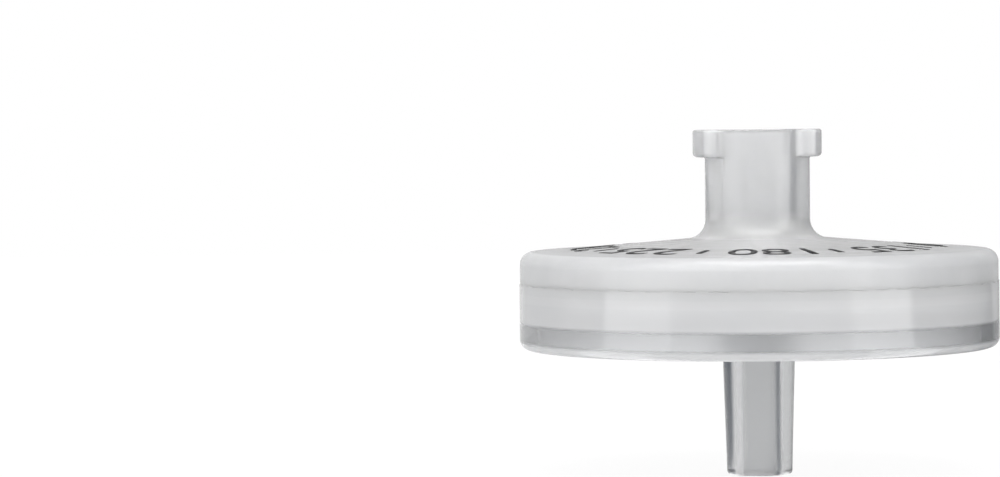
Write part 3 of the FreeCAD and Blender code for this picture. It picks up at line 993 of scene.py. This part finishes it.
camera = add_object("camera", bpy.data.cameras.new("camera"))
pitch = Matrix.Rotation(math.pi / 2 - CAMERA_PITCH, 4, "X")
roll = Matrix.Rotation(-CAMERA_ROLL, 4, "Z")
camera.matrix_world = Matrix.Translation(CAMERA_PLACE) @ pitch @ roll
camera.data.lens = LENS_IN_WIDTHS * camera.data.sensor_width
camera.data.clip_start = CLIP_START
bpy.context.scene.camera = camera
print(f"camera {CAMERA_PLACE.length / MM:.0f} mm away, lens {camera.data.lens:.0f} mm")

# %% [markdown]
# ## The studio's walls
#
# Glossy, clear plastic shows little of itself: what it shows is the room. The walls could be real
# planes, but they would light the part as well as show in it. So the world paints them by the
# bearing round the part, for rays off a gloss and rays through the plastic alone: a bright soft
# box on each side, which the polished skirt mirrors as upright bands, darker wings further back,
# and a dark gap behind on the right that the clear skirt lets through. Everything else gets an
# even grey, and the camera sees white.

# %% Studio walls
# Each wall: first and last bearing and soft edge in degrees, and how bright it is.
WALLS = {
    "left box": (-78, -46, 3, 2.9),
    "right box": (40, 69, 3, 2.9),
    "front": (-43, 37, 3, 1.5),
    "left wing": (-190, -82, 4, 0.8),
    "right wing": (73, 136, 4, 0.1),
    "back": (142, 200, 6, 0.45),
}
GAP_START, GAP_END, GAP_DEPTH = (98, 104), (134, 144), 0.88
DIM_SIDES, DIM_DEPTH = (102, 150, 8), 0.12
WHITE, AMBIENT, GAP_COLOUR = (1, 1, 1), (0.86, 0.86, 0.86), (0.0, 0.02, 0.05)


def ray_kinds(tree):
    """Three masks: rays from the camera, rays off a gloss, and rays through the plastic."""
    rays = tree.nodes.new("ShaderNodeLightPath").outputs
    camera_ray, clear = Flow(rays["Is Camera Ray"]), Flow(rays["Is Transmission Ray"])
    return camera_ray, Flow(rays["Is Glossy Ray"]) * (1 - clear), clear


def studio_walls(direction, gloss):
    """Colour and strength of the studio in a direction, for the clear plastic and for the gloss.

    The bearing is the angle round the part, 0 in front and positive to the right. For the gloss,
    the strength is the sum of each wall's mask times its brightness. Through the plastic the
    studio is white, but for the gap and a slight dimming on both sides of the back.
    """
    across, along, _ = direction.split()
    bearing = across.maths("ARCTAN2", across, 0.0 - along) * (180 / math.pi)
    side = bearing.maths("ABSOLUTE", bearing)
    mirrored = sum(bearing.between(*edges) * bright for *edges, bright in WALLS.values())
    gap = bearing.step(*GAP_START) * (1 - bearing.step(*GAP_END)) * GAP_DEPTH
    gap += side.between(*DIM_SIDES) * DIM_DEPTH
    return gap.colours(WHITE, GAP_COLOUR), 1 + gloss * (mirrored - 1)


def light_the_world():
    """White for the camera, the studio's walls for gloss and glass, an even grey for the rest."""
    world = bpy.data.worlds.new("studio")
    bpy.context.scene.world = world
    world.use_nodes = True
    tree = world.node_tree
    camera_ray, gloss, clear = ray_kinds(tree)
    direction = Flow(tree.nodes.new("ShaderNodeTexCoord").outputs["Generated"])
    walls, level = studio_walls(direction, gloss)
    colour = camera_ray.colours((gloss + clear).colours(AMBIENT, walls), WHITE)
    background = tree.nodes["Background"]
    tree.links.new(colour.socket, background.inputs["Color"])
    tree.links.new(level.socket, background.inputs["Strength"])
    print(f"world: {len(tree.nodes)} nodes, {len(WALLS)} walls")


light_the_world()

# %% [markdown]
# ## Lamps
#
# Large lamps give soft shadows. Sun or point lamps would draw hard edges through the plastic, so
# three area lamps are used: a key from the front left, a weak one from the right that opens the
# shadow side, and one almost overhead for the dome.

# %% Lamps
# Each lamp: bearing and elevation in degrees, distance and size in millimetres, power in watts.
LAMPS = {
    "key_box": (-30, 28, 260, (200, 200), 0.17),
    "right_box": (66, 24, 260, (120, 200), 0.06),
    "top_box": (0, 72, 220, (160, 160), 0.25),
}


def soft_box(name, bearing, elevation, distance, size, power):
    """A rectangular lamp that looks at the part's middle. Bearing 0 is in front, on the -Y side."""
    lamp = bpy.data.lights.new(name, "AREA")
    lamp.shape, lamp.size, lamp.size_y = "RECTANGLE", size[0] * MM, size[1] * MM
    lamp.energy = power
    box = add_object(name, lamp)
    turn, lift = math.radians(bearing), math.radians(elevation)
    level = math.cos(lift)
    away = Vector((math.sin(turn) * level, -math.cos(turn) * level, math.sin(lift)))
    middle = Vector((0, 0, seam)) * MM
    box.location = middle + away * distance * MM
    box.rotation_euler = away.to_track_quat("Z", "Y").to_euler()
    print(f"{name}: {power} W at {distance} mm")


for name, lamp in LAMPS.items():
    soft_box(name, *lamp)

# %% [markdown]
# ## The floor
#
# The part stands on a plain pale floor that runs into the white background. A white sheet alone
# would turn grey where the lamps fall off, and more light on it would bleach the part too. So for
# the camera and for the plastic the floor is mostly an even glow, with a share of the plain floor
# mixed in near the part, which keeps its shadow. For all other light it is plain and pale.

# %% Floor
FLOOR_HALF, FLOOR_COLOUR = 400, (0.9, 0.9, 0.9, 1)
FLOOR_GLOW, FLOOR_WHITE, SHADOW_RADII = 0.92, 1.02, (30, 110)


def make_floor():
    """A plain square floor under the tip."""
    corners = np.array([[-1, -1], [1, -1], [1, 1], [-1, 1]]) * FLOOR_HALF
    points = np.hstack([corners, np.full((4, 1), tip_end)])
    mesh = bpy.data.meshes.new("floor")
    mesh.from_pydata((points * MM).tolist(), [], [[0, 1, 2, 3]])
    floor = add_object("floor", mesh)
    return floor


def floor_finish():
    """Diffuse for rays that light things, and mostly an even white for the eye.

    The glow's share is FLOOR_GLOW near the part and rises to 1 between the two SHADOW_RADII, so
    that the shadow shows faintly and ends softly.
    """
    material, place = new_material("pale_floor")
    camera_ray, gloss, clear = ray_kinds(material.node_tree)
    radius, _ = radius_and_height(place)
    share = FLOOR_GLOW + (1 - FLOOR_GLOW) * radius.step(*SHADOW_RADII)
    walls, level = studio_walls(place, gloss)
    diffuse = place.node("ShaderNodeBsdfDiffuse", Color=FLOOR_COLOUR)
    seen = camera_ray.colours(walls, WHITE)
    glow = place.node("ShaderNodeEmission", Color=seen, Strength=level * FLOOR_WHITE)
    shown = (camera_ray + gloss + clear) * share
    return set_surface(material, place.node("ShaderNodeMixShader", n0=shown, n1=diffuse, n2=glow))


make_floor().data.materials.append(floor_finish())

# %% [markdown]
# ## Finish
#
# The Standard view shows a colour about as it is written, where a filmic view would grey the
# whites.

# %% Finish
bpy.context.scene.view_settings.view_transform = "Standard"
